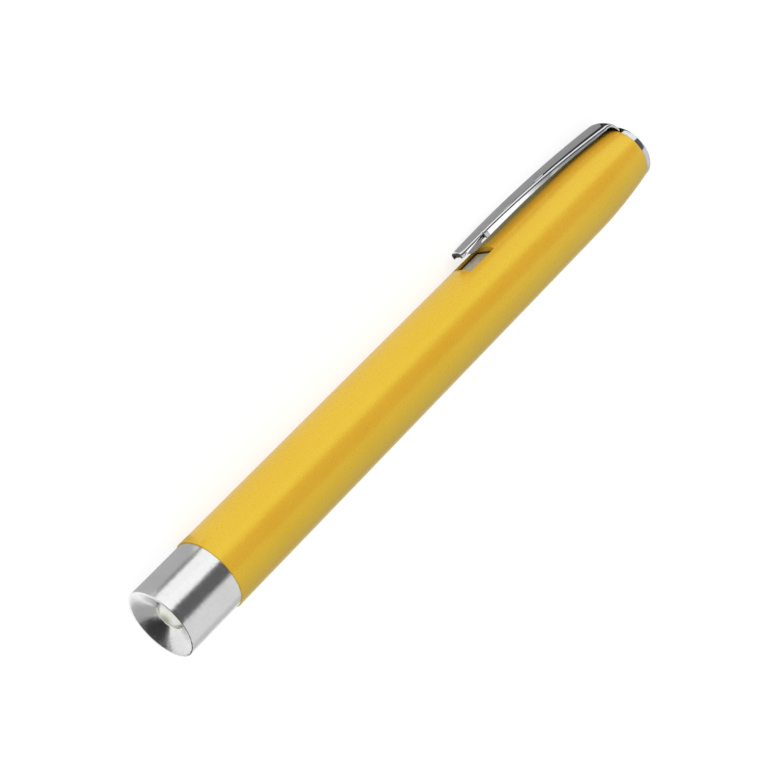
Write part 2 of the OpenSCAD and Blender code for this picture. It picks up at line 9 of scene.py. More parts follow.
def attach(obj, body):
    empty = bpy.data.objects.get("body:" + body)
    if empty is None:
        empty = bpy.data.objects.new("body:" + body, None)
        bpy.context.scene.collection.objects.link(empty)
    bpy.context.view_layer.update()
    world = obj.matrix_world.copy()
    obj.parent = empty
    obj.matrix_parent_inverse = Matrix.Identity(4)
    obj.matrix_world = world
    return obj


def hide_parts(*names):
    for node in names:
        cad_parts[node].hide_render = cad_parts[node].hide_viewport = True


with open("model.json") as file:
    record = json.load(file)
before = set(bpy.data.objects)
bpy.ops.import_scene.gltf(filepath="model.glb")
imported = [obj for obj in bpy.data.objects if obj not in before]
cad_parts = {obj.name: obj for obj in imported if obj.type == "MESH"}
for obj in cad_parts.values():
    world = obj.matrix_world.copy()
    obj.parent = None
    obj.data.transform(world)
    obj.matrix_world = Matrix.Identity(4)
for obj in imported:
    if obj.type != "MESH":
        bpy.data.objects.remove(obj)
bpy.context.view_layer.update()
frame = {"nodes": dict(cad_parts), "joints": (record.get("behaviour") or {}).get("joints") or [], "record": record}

MM_PER_METRE = 1000

# Sizes of the pen in millimetres, measured from the joint of head and barrel and from the pen's axis
FINE_ROUND = 0.06
NEAR = 0.1
SKIN = 0.02
CUT_OVER = 1.0
JOINT_ZONE = 1.0

# Barrel and its window
BARREL_R = 7.0
BORE_R = 5.75
TAIL_BORE_R = 4.0
SHOULDER_X = 107.5
BARREL_END_X = 122.3
TAPER_LEN = 17.0
TAPER_DROP = 1.15
TAIL_R = BARREL_R - TAPER_DROP
WINDOW_X = 75.3
WINDOW_END_X = 82.5
WINDOW_W = 5.2
WINDOW_LOW_Z = 3.0
WINDOW_HIGH_Z = 9.0
WINDOW_MARGIN = 1.0
WINDOW_ROUND = 0.07

# Head and its thread
HEAD_R = 6.8
RIM_X = -12.1
MOUTH_R = 6.35
LED_HOLE_R = 2.6
CONE_ANGLE = math.radians(63)
LAMP_WALL = 1.4
SPIGOT_R = 5.7
SPIGOT_LEN = 6.8
LAMP_BORE_R = 4.7
JOINT_GAP = 0.01
THREAD_X = 0.5
THREAD_PITCH = 0.75
THREAD_DEPTH = 0.32
THREAD_SINK = 0.05
THREAD_FIT = 0.01
THREAD_CREST = (0.45, 0.55)
THREAD_RUNOUT = 1.2

# LED
LED_R = 2.5
LED_TIP_X = -11.0
LED_BASE_X = -2.4
LED_FLANGE_R = 2.9
LED_FLANGE_T = 1.0
LED_ROUND = 0.08

# Tail cap and its pocket
CAP_T = 1.6
CAP_ROUND = 0.7
CAP_FIT = 0.05
CAP_SPIGOT_X = 116.5
CAP_POCKET_X = 120.1
CAP_POCKET_END_X = 123.4
CAP_POCKET_W = 5.85
CAP_POCKET_Z = 2.65
CAP_POCKET_TOP_Z = 8.0

# Clip, from its tip to its hook
CLIP_T = 0.4
CLIP_TIP_X = 76.25
CLIP_BACK_X = 123.05
CLIP_LEN = CLIP_BACK_X - CLIP_TIP_X
CLIP_CROWN = (87.75, 10.15)
CLIP_ARCH_R = 345.0
CLIP_BEND_R = 3.6
CLIP_TIP_W = 2.8
CLIP_ROOT_W = 5.25
CLIP_ROUND_R = 4.5
CLIP_EDGE_R = 0.62
CLIP_LIP = 0.12
TIP_DEPTH = 1.25
TIP_SHARE = 0.015
TIP_NARROW = 0.14
NOTCH_X = 82.9
NOTCH_DEPTH = 0.55
NOTCH_RUN = 0.15
FLANGE_DEPTH = 1.75
ROOT_DEPTH = 1.4
TANG_DEPTH = 0.5
TANG_EDGE_R = 0.45
TANG_ROUND_R = 200.0
HOOK_Z = 3.0
HOOK_BEND_R = 0.8
HOOK_W = 2.4
HOOK_LEN = 2.4

# Contact strip, with its pad and the frame round that
STRIP_X = 74.3
STRIP_END_X = 104.9
STRIP_W = 4.4
STRIP_R = 5.53
SLEEVE_R = 5.33
SEAT_R = 5.2
SEAT_T = 0.3
PAD_X = 75.6
PAD_END_X = 82.2
PAD_W = 4.4
PAD_Z = 5.8
PAD_SINK = 0.1
PAD_ROUND = 0.1
FRAME_W = 0.3
FRAME_Z = 5.95

# Contact nose, with its foot, web and root
NOSE_X = 80.1
NOSE_Z = 11.4
NOSE_R = 3.6
NOSE_W = 1.8
NOSE_TOP_Z = 9.41
NOSE_TOP_X = 79.3
FOOT_END_X = 81.75
FOOT_END_Z = 7.92
FOOT_BACK_X = 82.2
WEB_X = 79.7
WEB_END_X = 84.4
WEB_Z = 8.45
WEB_TOP_Z = 8.9
NOSE_ROOT_X = 76.45
NOSE_ROOT_END_X = 78.1
NOSE_ROOT_Z = 8.85

# The pen's own frame: along X to the tail, clip above, set down as the part rests
joints = {joint["name"]: joint for joint in frame["joints"]}
pen_axis = joints["head_turn"]["pos_m"]
clip_hinge = joints["clip_press"]["axis"]
rest_roll = math.atan2(clip_hinge[2], clip_hinge[1])
PEN = (Matrix.Translation(pen_axis) @ Matrix.Rotation(math.pi, 4, "Z")
       @ Matrix.Rotation(-rest_roll, 4, "X") @ Matrix.Scale(1 / MM_PER_METRE, 4))


# Modelling

def polyline(bm, points, closed=False):
    verts = [bm.verts.new(point) for point in points]
    ends = verts[1:] + verts[:1] if closed else verts[1:]
    return [bm.edges.new(pair) for pair in zip(verts, ends)]


def turned(outline, steps):
    """A closed outline of (place, radius) points, turned about the pen's axis."""
    bm = bmesh.new()
    polyline(bm, [(x, 0, r) for x, r in outline], closed=True)
    bmesh.ops.spin(bm, geom=bm.verts[:] + bm.edges[:], cent=(0, 0, 0), axis=(1, 0, 0),
                   angle=2 * math.pi, steps=steps, use_merge=True)
    bmesh.ops.remove_doubles(bm, verts=bm.verts, dist=1e-5)
    bmesh.ops.dissolve_degenerate(bm, dist=1e-6, edges=bm.edges)
    bmesh.ops.recalc_face_normals(bm, faces=bm.faces)
    return bm


def eased(bm, width, segments=2, angle=20, where=lambda middle: True):
    """Rounds the sharp edges whose middle is in the wanted place."""
    sharp = [edge for edge in bm.edges
             if len(edge.link_faces) == 2 and edge.calc_face_angle() > math.radians(angle)
             and where((edge.verts[0].co + edge.verts[1].co) / 2)]
    bmesh.ops.bevel(bm, geom=sharp, offset=width, offset_type="OFFSET", segments=segments, profile=0.5,
                    affect="EDGES", material=-1, clamp_overlap=True)
    return bm


def box(low, high):
    bm = bmesh.new()
    bmesh.ops.create_cube(bm, size=1)
    low, high = Vector(low), Vector(high)
    bmesh.ops.scale(bm, vec=high - low, verts=bm.verts)
    bmesh.ops.translate(bm, vec=(low + high) / 2, verts=bm.verts)
    return bm


def scratch_object(bm):
    mesh = bpy.data.meshes.new("scratch")
    bm.to_mesh(mesh)
    bm.free()
    scratch = bpy.data.objects.new("scratch", mesh)
    bpy.context.scene.collection.objects.link(scratch)
    return scratch


def carved(bm, cutter):
    """Cuts one solid out of another."""
    solid = scratch_object(bm)
    tool = scratch_object(cutter)
    cut = solid.modifiers.new("cut", "BOOLEAN")
    cut.operation = "DIFFERENCE"
    cut.solver = "EXACT"
    cut.object = tool
    bpy.context.view_layer.update()
    result = bmesh.new()
    result.from_object(solid, bpy.context.evaluated_depsgraph_get())
    for scratch in (solid, tool):
        mesh = scratch.data
        bpy.data.objects.remove(scratch)
        bpy.data.meshes.remove(mesh)
    return result


def joined(bm, other):
    """Puts a second solid beside the first in one mesh."""
    mesh = bpy.data.meshes.new("scratch")
    other.to_mesh(mesh)
    other.free()
    bm.from_mesh(mesh)
    bpy.data.meshes.remove(mesh)
    bmesh.ops.recalc_face_normals(bm, faces=bm.faces)
    return bm


def arc(centre, radius, start, end, steps):
    """Points round a centre, at angles from the second axis towards the first."""
    turns = [start + (end - start) * step / steps for step in range(steps + 1)]
    return [(centre[0] + radius * math.sin(turn), centre[1] + radius * math.cos(turn)) for turn in turns]


def between(first, last, share):
    return first + (last - first) * share


def piece(name, bm, body, slot, *layers):
    """Sets a mesh down in the row frame as a piece that stands for the solid node of the same name."""
    bmesh.ops.transform(bm, matrix=PEN, verts=bm.verts)
    mesh = bpy.data.meshes.new(name + "_form")
    bm.to_mesh(mesh)
    bm.free()
    mesh.shade_smooth()
    mesh.set_sharp_from_angle(angle=math.radians(35))
    made = bpy.data.objects.new(name + "_form", mesh)
    bpy.context.scene.collection.objects.link(made)
    for finish in layers:
        made.data.materials.append(finish)
    # Large faces keep their own normals beside small rounded edges
    made.modifiers.new("even_normals", "WEIGHTED_NORMAL").keep_sharp = True
    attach(made, body)
    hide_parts(name)


# Shader nodes

class Value:
    """A shader socket that can be used in sums."""

    def __init__(self, nodes, socket):
        self.nodes = nodes
        self.socket = socket

    def sum(self, operation, first, second):
        return self.nodes.node("ShaderNodeMath", {"operation": operation}, {0: first, 1: second})

    def __add__(self, other):
        return self.sum("ADD", self, other)

    def __radd__(self, other):
        return self.sum("ADD", other, self)

    def __mul__(self, other):
        return self.sum("MULTIPLY", self, other)

    def __rmul__(self, other):
        return self.sum("MULTIPLY", other, self)


class Shading:
    """The node tree of a material or of the world, with one method that adds a node."""

    def __init__(self, owner):
        owner.use_nodes = True
        self.tree = owner.node_tree
        self.tree.nodes.clear()

    def node(self, kind, settings=None, inputs=None, output=0):
        made = self.tree.nodes.new(kind)
        for key, setting in (settings or {}).items():
            setattr(made, key, setting)
        for key, value in (inputs or {}).items():
            if isinstance(value, Value):
                self.tree.links.new(value.socket, made.inputs[key])
            else:
                made.inputs[key].default_value = value
        return Value(self, made.outputs[output]) if made.outputs else made

    def remap(self, value, low, high, to_low, to_high):
        return self.node("ShaderNodeMapRange", {}, {"Value": value, "From Min": low, "From Max": high,
                                                    "To Min": to_low, "To Max": to_high})

    def seen(self):
        """One for rays from the camera, from polished surfaces and through clear ones."""
        rays = ["Is Camera Ray", "Is Glossy Ray", "Is Transmission Ray"]
        camera_ray, glossy_ray, clear_ray = [self.node("ShaderNodeLightPath", output=ray) for ray in rays]
        return camera_ray + glossy_ray + clear_ray


class Finish(Shading):
    """A material."""

    def __init__(self, name):
        self.material = bpy.data.materials.new(name)
        super().__init__(self.material)

    def place(self, scale=(1, 1, 1)):
        """Place on the piece, in millimetres times the scale."""
        coords = self.node("ShaderNodeTexCoord", output="Object")
        in_mm = [MM_PER_METRE * factor for factor in scale]
        return self.node("ShaderNodeMapping", {}, {"Vector": coords, "Scale": in_mm})

    def off_axis(self):
        """Distance from the pen's axis, in millimetres."""
        coords = self.node("ShaderNodeTexCoord", output="Object")
        across = self.node("ShaderNodeMapping", {}, {
            "Vector": coords, "Scale": (0, MM_PER_METRE, MM_PER_METRE),
            "Location": (0, -MM_PER_METRE * pen_axis[1], -MM_PER_METRE * pen_axis[2])})
        return self.node("ShaderNodeVectorMath", {"operation": "LENGTH"}, {0: across}, output="Value")

    def noise(self, where, scale, detail=2.0, roughness=0.5):
        return self.node("ShaderNodeTexNoise", {},
                         {"Vector": where, "Scale": scale, "Detail": detail, "Roughness": roughness})

    def blend(self, factor, first, second):
        """A colour between two colours."""
        return self.node("ShaderNodeMix", {"data_type": "RGBA"}, {0: factor, 6: first, 7: second}, output=2)

    def bump(self, height, strength, distance_mm):
        return self.node("ShaderNodeBump", {},
                         {"Strength": strength, "Distance": distance_mm / MM_PER_METRE, "Height": height})

    def surface(self, **inputs):
        named = {key.replace("_", " ").title().replace("Ior", "IOR"): value for key, value in inputs.items()}
        shader = self.node("ShaderNodeBsdfPrincipled", {}, named)
        self.node("ShaderNodeOutputMaterial", {}, {"Surface": shader})
        return self.material


def colour(red, green, blue):
    """An opaque colour from its screen values of 0 to 255."""
    def linear(value):
        share = value / 255
        return share / 12.92 if share <= 0.04045 else ((share + 0.055) / 1.055) ** 2.4
    return (linear(red), linear(green), linear(blue), 1)


def grey(level):
    """An opaque grey from its share of light."""
    return (level, level, level, 1)


# Finishes

def lacquer(name):
    """Satin yellow lacquer over a turned tube: faint ripple, faint change of shade."""
    f = Finish(name)
    here = f.place()
    cloud = f.noise(here, 0.06, 3)
    ripple = f.noise(here, 0.9, 2)
    shade = f.blend(f.remap(cloud, 0.35, 0.65, 0, 1), colour(232, 173, 50), colour(235, 177, 56))
    return f.surface(base_color=shade, roughness=f.remap(ripple, 0.3, 0.7, 0.26, 0.31),
                     ior=1.8, specular_ior_level=1.0, specular_tint=colour(185, 255, 100),
                     normal=f.bump(ripple, 0.04, 0.02))


def turned_metal(name):
    """Bright turned aluminium: fine rings of tool marks round the pen's axis."""
    f = Finish(name)
    rings = f.noise(f.place((14, 0.05, 0.05)), 1.0, 4, 0.7)
    specks = f.noise(f.place((9, 1.5, 1.5)), 1.0, 3, 0.6)
    smudge = f.noise(f.place(), 0.25, 3)
    rough = f.remap(rings, 0.3, 0.7, 0.09, 0.17) + f.remap(specks, 0.4, 0.7, 0, 0.1)
    tone = f.blend(f.remap(smudge, 0.35, 0.65, 0, 1), colour(236, 236, 237), colour(240, 240, 240))
    tone = f.blend(f.remap(specks, 0.5, 0.75, 0, 0.25), tone, colour(200, 200, 201))
    return f.surface(base_color=tone, metallic=1.0, roughness=rough,
                     normal=f.bump(rings * 0.3 + specks * 0.7, 0.8, 0.05))


def bright_plate(name):
    """Polished plating on formed steel: a few smudges and hairlines."""
    f = Finish(name)
    smudge = f.noise(f.place(), 0.5, 4)
    hairline = f.noise(f.place((0.15, 5, 5)), 1.0, 3, 0.7)
    rough = f.remap(smudge, 0.35, 0.7, 0.05, 0.1) + f.remap(hairline, 0.55, 0.75, 0, 0.06)
    tone = f.blend(f.remap(smudge, 0.35, 0.65, 0, 1), colour(219, 220, 223), colour(228, 228, 229))
    return f.surface(base_color=tone, metallic=1.0, roughness=rough, normal=f.bump(hairline, 0.08, 0.004))


def clear_epoxy(name):
    """Milky clear resin, as a diffused LED has, with a darker middle, that glows faintly though the LED is off:
    painted light.
    """
    f = Finish(name)
    swirl = f.noise(f.place(), 0.8, 2)
    rim = f.blend(swirl, colour(255, 254, 246), colour(250, 250, 240))
    tint = f.blend(f.remap(f.off_axis(), 0.5, 1.5, 0, 1), colour(160, 170, 146), rim)
    # The faint glow in the resin's own colours is painted light
    return f.surface(base_color=tint, roughness=f.remap(swirl, 0.3, 0.7, 0.05, 0.1),
                     transmission_weight=0.12, ior=1.5, emission_color=tint, emission_strength=0.16)


def plain(name, first, second, roughness, metallic=0.0, scale=0.6, grain=0.1):
    """A finish that varies a little between two shades, with a fine grain."""
    f = Finish(name)
    here = f.place()
    cloud = f.remap(f.noise(here, scale, 4), 0.35, 0.65, 0, 1)
    fine = f.noise(here, 14 * scale, 3)
    return f.surface(base_color=f.blend(cloud, colour(*first), colour(*second)), metallic=metallic,
                     roughness=f.remap(fine, 0.3, 0.7, roughness * 0.85, roughness * 1.2),
                     normal=f.bump(fine, grain, 0.01))


# Plain finishes by name: two shades, roughness, then metallic, scale and grain where they differ
PLAIN_FINISHES = {
    # Dark dull steel: inside the clip's channel and on the nose's root its dark colour is painted shade
    "dull_steel": ((92, 92, 93), (78, 78, 80), 0.45, 1.0, 1.0),
    "nose_steel": ((168, 168, 169), (154, 154, 156), 0.3, 1.0, 1.0),
    "tinned_steel": ((206, 206, 204), (190, 191, 192), 0.3, 1.0, 1.2),
    "phosphor": ((226, 204, 92), (214, 190, 74), 0.7, 0.0, 3.0, 0.3),
    "white_plastic": ((236, 234, 226), (226, 224, 215), 0.42),
    "board_green": ((24, 92, 52), (18, 78, 44), 0.4),
    "black_plastic": ((34, 34, 36), (26, 26, 28), 0.45),
    "brass": ((214, 180, 110), (200, 162, 92), 0.28, 1.0, 0.9),
    "nickel": ((228, 220, 194), (214, 206, 180), 0.45, 0.5, 0.8),
    "cell_steel": ((208, 208, 206), (194, 195, 196), 0.3, 1.0),
    "cell_mass": ((30, 30, 30), (42, 41, 40), 0.8, 0.0, 2.0, 0.4),
    "cell_jacket": ((70, 78, 92), (60, 68, 82), 0.35),
}
special_finishes = {"yellow_lacquer": lacquer, "turned_aluminium": turned_metal, "chrome": bright_plate,
                    "clear_epoxy": clear_epoxy}
finishes = {name: make(name) for name, make in special_finishes.items()}
finishes.update({name: plain(name, *values) for name, values in PLAIN_FINISHES.items()})

slots = {part["node"]: part["material_slot"] for part in frame["record"]["subparts"]}
for node, cad_piece in frame["nodes"].items():
    cad_piece.data.materials.clear()
    cad_piece.data.materials.append(finishes[slots[node]])


# Barrel: a tapered tube with a window for the switch

def barrel_form():
    taper_x = BARREL_END_X - TAPER_LEN
    taper_r = (TAPER_LEN ** 2 + TAPER_DROP ** 2) / (2 * TAPER_DROP)
    taper = arc((taper_x, BARREL_R - taper_r), taper_r, 0, math.asin(TAPER_LEN / taper_r), 24)
    rings = [WINDOW_X - WINDOW_MARGIN, WINDOW_END_X + WINDOW_MARGIN]
    outline = ([(0, BORE_R), (0, BARREL_R)] + [(x, BARREL_R) for x in rings] + taper
               + [(BARREL_END_X, TAIL_BORE_R), (SHOULDER_X, TAIL_BORE_R), (SHOULDER_X, BORE_R)]
               + [(x, BORE_R) for x in reversed(rings)])
    tube = eased(turned(outline, 256), FINE_ROUND,
                 where=lambda p: p.x < JOINT_ZONE or p.x > BARREL_END_X - NEAR)
    half = WINDOW_W / 2
    tube = carved(tube, box((WINDOW_X, -half, WINDOW_LOW_Z), (WINDOW_END_X, half, WINDOW_HIGH_Z)))

    def at_window(p):
        outside = math.hypot(p.y, p.z) > BARREL_R - SKIN
        along = WINDOW_X - NEAR < p.x < WINDOW_END_X + NEAR
        return outside and along and p.z > 0 and abs(p.y) < half + NEAR
    return eased(tube, WINDOW_ROUND, where=at_window)


piece("barrel", barrel_form(), "barrel", "yellow_lacquer", finishes["yellow_lacquer"])


# Head: a turned reflector with a screwed spigot

def head_form():
    cone_x = RIM_X + (MOUTH_R - LED_HOLE_R) / math.tan(CONE_ANGLE)
    wall_x = cone_x + LAMP_WALL
    root_r = SPIGOT_R - THREAD_DEPTH
    outline = [(RIM_X, MOUTH_R), (RIM_X, HEAD_R), (-JOINT_GAP, HEAD_R), (-JOINT_GAP, root_r),
               (SPIGOT_LEN, root_r), (SPIGOT_LEN, LAMP_BORE_R), (wall_x, LAMP_BORE_R), (wall_x, LED_HOLE_R),
               (cone_x, LED_HOLE_R)]
    bm = eased(turned(outline, 256), FINE_ROUND, where=lambda p: abs(p.x) > JOINT_ZONE)
    # The thread is one ridge, wound round the spigot
    steps = 48
    turns = int((SPIGOT_LEN - THREAD_RUNOUT) / THREAD_PITCH)
    foot_r = root_r - THREAD_SINK
    crest_r = SPIGOT_R - THREAD_FIT
    crest = [(THREAD_X + THREAD_PITCH * share, crest_r) for share in THREAD_CREST]
    ridge = [(THREAD_X, foot_r)] + crest + [(THREAD_X + THREAD_PITCH, foot_r)]
    thread = bmesh.new()
    profile = thread.faces.new([thread.verts.new((x, 0, r)) for x, r in ridge])
    bmesh.ops.spin(thread, geom=thread.verts[:] + thread.edges[:] + [profile], cent=(0, 0, 0), axis=(1, 0, 0),
                   dvec=(THREAD_PITCH / steps, 0, 0), angle=2 * math.pi * turns, steps=steps * turns)
    return joined(bm, thread)


piece("lamp_head", head_form(), "head", "turned_aluminium", finishes["turned_aluminium"])


# LED: a domed body with a flange

def led_form():
    dome = arc((LED_TIP_X + LED_R, 0), LED_R, -math.pi / 2, 0, 24)
    flange_x = LED_BASE_X - LED_FLANGE_T
    outline = dome + [(flange_x, LED_R), (flange_x, LED_FLANGE_R), (LED_BASE_X, LED_FLANGE_R),
                      (LED_BASE_X, 0)]
    return eased(turned(outline, 96), LED_ROUND)


piece("led_lens", led_form(), "head", "clear_epoxy", finishes["clear_epoxy"])


# Contact strip: a curved tongue under the window with a raised pad, and the spring's seat at its end

def strip_form():
    half_turn = math.asin(STRIP_W / 2 / STRIP_R)
    bm = bmesh.new()
    tongue = [(STRIP_X, SLEEVE_R), (STRIP_END_X, SLEEVE_R), (STRIP_END_X, STRIP_R), (STRIP_X, STRIP_R)]
    section = bm.faces.new([bm.verts.new((x, 0, r)) for x, r in tongue])
    bmesh.ops.rotate(bm, cent=(0, 0, 0), matrix=Matrix.Rotation(-half_turn, 3, "X"), verts=bm.verts)
    bmesh.ops.spin(bm, geom=bm.verts[:] + bm.edges[:] + [section], cent=(0, 0, 0), axis=(1, 0, 0),
                   angle=2 * half_turn, steps=12)
    seat = Matrix.Translation((STRIP_END_X - SEAT_T / 2, 0, 0)) @ Matrix.Rotation(math.pi / 2, 4, "Y")
    bmesh.ops.create_cone(bm, cap_ends=True, segments=96, radius1=SEAT_R, radius2=SEAT_R, depth=SEAT_T,
                          matrix=seat)
    half = PAD_W / 2
    pad = box((PAD_X, -half, SLEEVE_R - PAD_SINK), (PAD_END_X, half, PAD_Z))
    pad = eased(pad, PAD_ROUND, segments=3, where=lambda p: p.z > PAD_Z - NEAR)
    # A black frame round the pad, between it and the window's walls, is painted shade: it stands in for the shadow
    # in the gap there
    outer = half + FRAME_W
    rim = box((PAD_X - FRAME_W, -outer, SLEEVE_R), (PAD_END_X + FRAME_W, outer, FRAME_Z))
    rim = carved(rim, box((PAD_X, -half, SLEEVE_R - CUT_OVER), (PAD_END_X, half, FRAME_Z + CUT_OVER)))
    # The frame takes the black plastic, as painted shade
    for face in rim.faces:
        face.material_index = 1
    return joined(joined(bm, pad), rim)


piece("contact_strip", strip_form(), "barrel", "nickel", finishes["nickel"], finishes["black_plastic"])


# Tail cap: a plated disc with a pocket for the clip's tang

def cap_form():
    end_x = BARREL_END_X + CAP_T
    edge = arc((end_x - CAP_ROUND, TAIL_R - CAP_ROUND), CAP_ROUND, 0, math.pi / 2, 8)
    spigot_r = TAIL_BORE_R - CAP_FIT
    outline = ([(CAP_SPIGOT_X, 0), (CAP_SPIGOT_X, spigot_r), (BARREL_END_X, spigot_r), (BARREL_END_X, TAIL_R)]
               + edge + [(end_x, 0)])
    half = CAP_POCKET_W / 2
    pocket = box((CAP_POCKET_X, -half, CAP_POCKET_Z), (CAP_POCKET_END_X, half, CAP_POCKET_TOP_Z))
    return carved(turned(outline, 192), pocket)


piece("tail_cap", cap_form(), "barrel", "chrome", finishes["chrome"])


# Clip: one formed sheet, arched along the barrel and folded into the tail

def clip_section(place, turn, width, depth, edge, back, inset):
    """One skin of the channel at one station: a rounded back, two rolled edges and their short lips."""
    across = width / 2 - edge
    leave = math.asin(across / (back - edge))
    middle = back - (back - edge) * math.cos(leave)
    stop = math.acos(max(0, (middle - depth + CLIP_LIP) / edge))
    roll = arc((across, -middle), edge - inset, leave, stop, 10)
    half = arc((0, -back), back - inset, 0, leave, 6)[:-1] + roll + [(roll[-1][0], -depth)]
    section = [(-y, z) for y, z in reversed(half[1:])] + half
    return [(place[0] + z * math.sin(turn), y, place[1] + z * math.cos(turn)) for y, z in section]


def clip_stations():
    """Place, turn, width, depth, edge and back of the sections, from the tip to the end of the hook."""
    def on_arc(x, z, radius, turn):
        return (x + radius * math.sin(turn), z + radius * math.cos(turn))

    def shares(steps, first=0):
        return [step / steps for step in range(first, steps + 1)]

    crown_x, crown_z = CLIP_CROWN
    arch_z = crown_z - CLIP_ARCH_R
    bend_x = CLIP_BACK_X - CLIP_BEND_R
    tip_turn = math.asin((CLIP_TIP_X - crown_x) / CLIP_ARCH_R)
    root_turn = math.asin((bend_x - crown_x) / (CLIP_ARCH_R - CLIP_BEND_R))
    bend_z = arch_z + (CLIP_ARCH_R - CLIP_BEND_R) * math.cos(root_turn)
    notch = (NOTCH_X - CLIP_TIP_X) / (bend_x - CLIP_TIP_X)
    full = notch + NOTCH_RUN / CLIP_LEN

    def arch(share, narrow=1.0):
        turn = between(tip_turn, root_turn, share)
        if share < full:
            depth = between(TIP_DEPTH, NOTCH_DEPTH, share / notch)
        else:
            depth = between(ROOT_DEPTH, FLANGE_DEPTH, ((1 - share) / (1 - full)) ** 2)
        width = between(CLIP_TIP_W, CLIP_ROOT_W, share) * narrow
        return (on_arc(crown_x, arch_z, CLIP_ARCH_R, turn), turn, width, depth, CLIP_EDGE_R, CLIP_ROUND_R)

    stations = [arch(TIP_SHARE * share, 1 - TIP_NARROW * (1 - share) ** 2) for share in shares(4)]
    stations += [arch(between(TIP_SHARE, notch, share)) for share in shares(8, 1)]
    stations += [arch(between(full, 1, share)) for share in shares(40)]
    for share in shares(16, 1):
        turn = between(root_turn, math.pi / 2, share)
        back = 1 / between(1 / CLIP_ROUND_R, 1 / TANG_ROUND_R, share)
        edge = between(CLIP_EDGE_R, TANG_EDGE_R, share)
        depth = between(ROOT_DEPTH, TANG_DEPTH, share)
        place = on_arc(bend_x, bend_z, CLIP_BEND_R, turn)
        stations.append((place, turn, CLIP_ROOT_W, depth, edge, back))
    hook = (HOOK_W, TANG_DEPTH, TANG_EDGE_R, TANG_ROUND_R)
    for share in shares(8):
        turn = math.pi / 2 * (1 + share)
        place = on_arc(CLIP_BACK_X - HOOK_BEND_R, HOOK_Z + HOOK_BEND_R, HOOK_BEND_R, turn)
        stations.append((place, turn) + hook)
    stations.append(((CLIP_BACK_X - HOOK_LEN, HOOK_Z), math.pi) + hook)
    return stations


def clip_form():
    stations = clip_stations()
    bm = bmesh.new()
    rims = []
    for inset in (0, CLIP_T):
        wires = [polyline(bm, clip_section(*station, inset)) for station in stations]
        for near, far in zip(wires, wires[1:]):
            skin = bmesh.ops.bridge_loops(bm, edges=near + far)
            # The inner skin takes the dark dull steel: a duller inside, whose dark colour is painted shade in the
            # channel and the bend
            for face in skin["faces"]:
                face.material_index = 1 if inset else 0
        rims.append([edge for edge in bm.edges if edge.is_boundary and edge not in sum(rims, [])])
    rim = bmesh.ops.bridge_loops(bm, edges=rims[0] + rims[1])
    # The cut end at the tip takes the same dark steel as the inside: painted shade in the channel's open end
    for face in rim["faces"]:
        if face.calc_center_median().x < CLIP_TIP_X + NEAR:
            face.material_index = 1
    bmesh.ops.recalc_face_normals(bm, faces=bm.faces)
    return eased(bm, FINE_ROUND, angle=50)


piece("clip", clip_form(), "clip", "chrome", finishes["chrome"], finishes["dull_steel"])


# Contact nose under the clip's tip

def nose_form():
    """A keel with a round front, a straight foot and a low web behind it."""
    front = math.acos((NOSE_Z - NOSE_TOP_Z) / NOSE_R)
    outline = [(x, -z) for x, z in arc((NOSE_X, -NOSE_Z), NOSE_R, -front, 0, 30)]
    outline += [(FOOT_END_X, FOOT_END_Z), (FOOT_BACK_X, WEB_Z), (WEB_END_X, WEB_Z), (WEB_END_X, WEB_TOP_Z),
                (WEB_X, WEB_TOP_Z), (NOSE_TOP_X, NOSE_TOP_Z)]
    half = NOSE_W / 2
    bm = bmesh.new()
    face = bm.faces.new([bm.verts.new((x, -half, z)) for x, z in outline])
    grown = bmesh.ops.extrude_face_region(bm, geom=[face])
    moved = [item for item in grown["geom"] if isinstance(item, bmesh.types.BMVert)]
    bmesh.ops.translate(bm, vec=(0, NOSE_W, 0), verts=moved)
    bmesh.ops.recalc_face_normals(bm, faces=bm.faces)
    bm = eased(bm, FINE_ROUND, angle=40, where=lambda p: abs(p.y) > half / 2 and p.z < WEB_TOP_Z - NEAR)
    # The nose's sheet runs forward in the channel to the tip
    root = box((NOSE_ROOT_X, -half, NOSE_ROOT_Z), (NOSE_ROOT_END_X, half, NOSE_TOP_Z))
    # The root, deep in the channel, takes the dark dull steel: painted shade
    for face in root.faces:
        face.material_index = 1
    return joined(bm, root)


piece("contact_nose", nose_form(), "clip", "chrome", finishes["nose_steel"], finishes["dull_steel"])


# Floor, light and camera in metres, and the lens in millimetres
FLOOR_SIZE = 8
FLOOR_Z = -0.0002
FLOOR_LIFT = 0.8
WORLD_LEVEL = 0.55
WORLD_SEEN = 0.74
SOFTBOX_W = 2.4
SOFTBOX_H = 0.26
SIDE_Y = 0.6
SIDE_X = -0.35
SIDE_CARD_W = 2.6
FRONT_X = 0.15
FRONT_LOW_X = 0.0795
FRONT_LOW_Y = -0.03
FRONT_MIDDLE_Y = 0.042
MARK_Z = 0.00005
MARK_FAR_Y = 0.004
MARK_NEAR_Y = -0.0145
MARK_SHIFT = 0.0025
OVERHEAD_Z = 0.3
OVERHEAD_LOW_Y = -0.115
OVERHEAD_HIGH_Y = 0.06
UP = 1
DOWN = -1
SIGHT_AZIMUTH = math.radians(35.138)
SIGHT_ELEVATION = math.radians(24.733)
SIGHT_ROLL = math.radians(118.139)
SIGHT_DISTANCE = 0.3906
SIGHT_MIDDLE = Vector((0.006884, 0.000902, 0.0069))
LENS_MM = 104.09
SENSOR_MM = 36


def flat_card(name, width, height, place, towards, finish):
    bm = bmesh.new()
    bmesh.ops.create_grid(bm, x_segments=1, y_segments=1, size=0.5)
    bmesh.ops.scale(bm, vec=(width, height, 1), verts=bm.verts)
    turn = (Vector(towards) - Vector(place)).to_track_quat("Z", "Y").to_matrix().to_4x4()
    bmesh.ops.transform(bm, matrix=Matrix.Translation(place) @ turn, verts=bm.verts)
    mesh = bpy.data.meshes.new(name)
    bm.to_mesh(mesh)
    bm.free()
    card = bpy.data.objects.new(name, mesh)
    card.data.materials.append(finish)
    bpy.context.scene.collection.objects.link(card)
    return card


